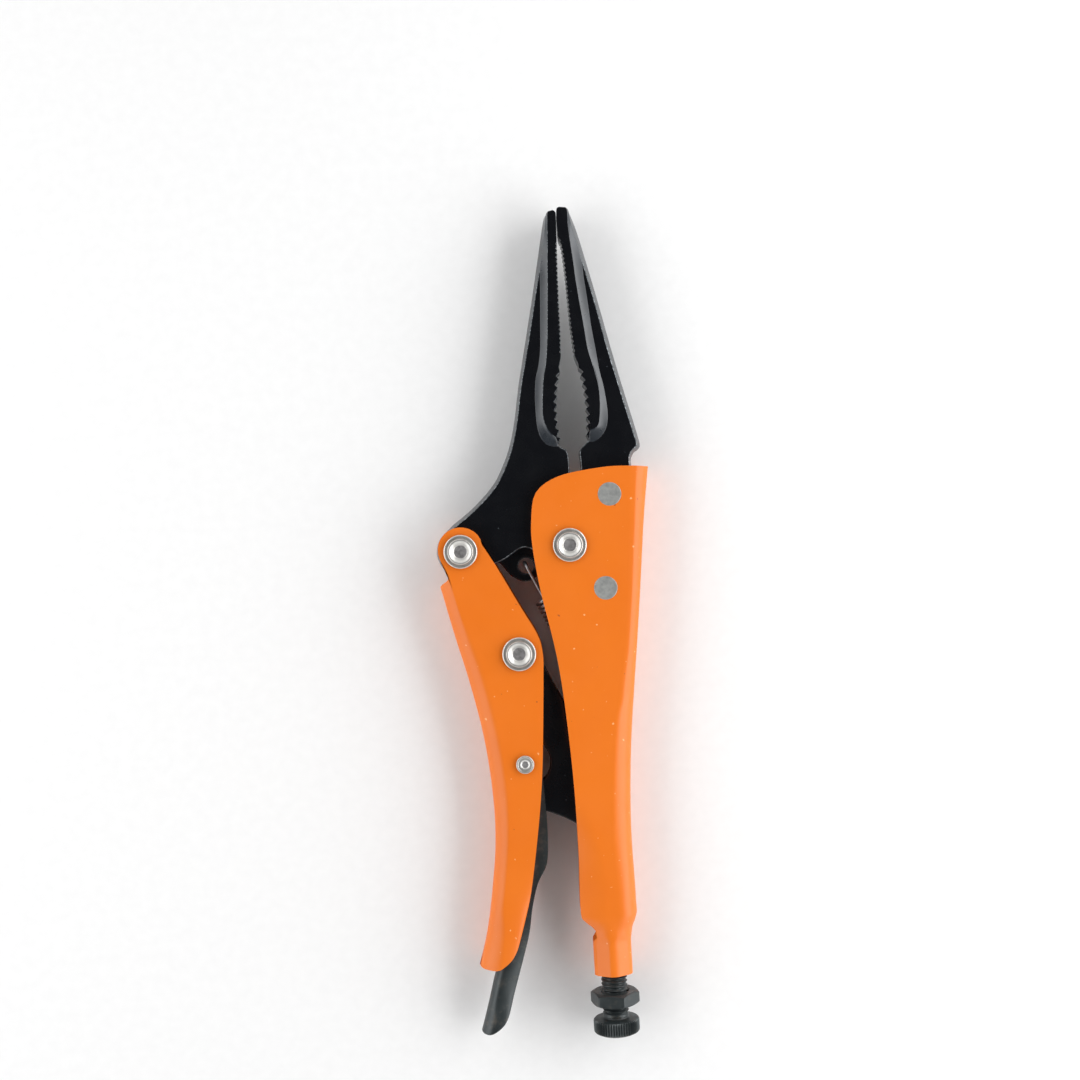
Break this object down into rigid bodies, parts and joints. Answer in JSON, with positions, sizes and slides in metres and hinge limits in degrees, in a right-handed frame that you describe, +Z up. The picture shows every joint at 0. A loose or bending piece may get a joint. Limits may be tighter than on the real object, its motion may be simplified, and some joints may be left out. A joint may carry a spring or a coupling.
{
  "type": "locking pliers",
  "caption": "Locking pliers with long curved jaws, riveted sheet-metal handles, a toggle link, a release lever, a return spring and a knurled adjusting screw.",
  "frame": {"origin": "centre of the bounding box's base, on the surface that the pliers lie on, under the rivet heads", "axes": "+Y towards the jaw tips and parallel to the adjusting screw, +X towards the fixed handle, +Z up through the tool's thickness along every pivot"},
  "size_m": [0.0644, 0.2478, 0.0164],
  "materials": {
    "orange_enamel": "semi-gloss orange powder coat",
    "black_jaw_finish": "glossy black finish with grey worn edges",
    "black_oxide": "satin black oxide on steel",
    "bright_zinc": "bright zinc plate",
    "dull_steel": "dull grey pressed steel",
    "spring_wire": "drawn spring wire"
  },
  "bodies": {
    "fixed_handle": {"main_handle": "orange_enamel", "fixed_jaw": "black_jaw_finish", "fixed_jaw_rivet_front": "dull_steel", "fixed_jaw_rivet_rear": "dull_steel", "jaw_pivot_rivet": "bright_zinc", "jaw_pivot_washer_top": "bright_zinc", "jaw_pivot_washer_bottom": "bright_zinc", "return_spring": "spring_wire"},
    "moving_jaw": {"moving_jaw": "black_jaw_finish"},
    "lever": {"lever_handle": "orange_enamel", "lever_pivot_rivet": "bright_zinc", "lever_pivot_washer_top": "bright_zinc", "lever_pivot_washer_bottom": "bright_zinc", "link_pivot_rivet": "bright_zinc", "link_pivot_washer_top": "bright_zinc", "link_pivot_washer_bottom": "bright_zinc", "release_lever_rivet": "bright_zinc"},
    "toggle_link": {"toggle_link": "black_jaw_finish"},
    "release_lever": {"release_lever": "black_oxide"},
    "lock_nut": {"lock_nut": "black_oxide"},
    "adjusting_screw": {"adjusting_screw": "black_oxide"}
  },
  "joints": [
    {"name": "jaw_hinge", "type": "hinge", "parent": "fixed_handle", "child": "moving_jaw", "pos_m": [0.00752, 0.02345, 0.0082], "axis": [0, 0, 1], "range_deg": [0, 18], "deforming": ["return_spring"]},
    {"name": "lever_hinge", "type": "hinge", "parent": "moving_jaw", "child": "lever", "pos_m": [-0.02488, 0.02325, 0.0082], "axis": [0, 0, 1], "range_deg": [-52, 0]},
    {"name": "link_hinge", "type": "hinge", "parent": "lever", "child": "toggle_link", "pos_m": [-0.00928, -0.00795, 0.0082], "axis": [0, 0, 1], "range_deg": [0, 58]},
    {"name": "release_hinge", "type": "hinge", "parent": "lever", "child": "release_lever", "pos_m": [-0.00938, -0.04065, 0.0082], "axis": [0, 0, 1], "range_deg": [-2.5, 0]},
    {"name": "screw_travel", "type": "slide", "parent": "fixed_handle", "child": "lock_nut", "axis": [0, -1, 0], "range_m": [0, 0.0101]},
    {"name": "screw_turn", "type": "hinge", "parent": "lock_nut", "child": "adjusting_screw", "pos_m": [0.01342, -0.09655, 0.0082], "axis": [0, -1, 0], "range_deg": [0, 2880]}
  ],
  "couplings": [
    {"joint": "lever_hinge", "follows": "jaw_hinge", "ratio": -2.872},
    {"joint": "link_hinge", "follows": "jaw_hinge", "ratio": 3.194},
    {"joint": "screw_travel", "follows": "screw_turn", "m_per_rad": 0.00019894}
  ]
}
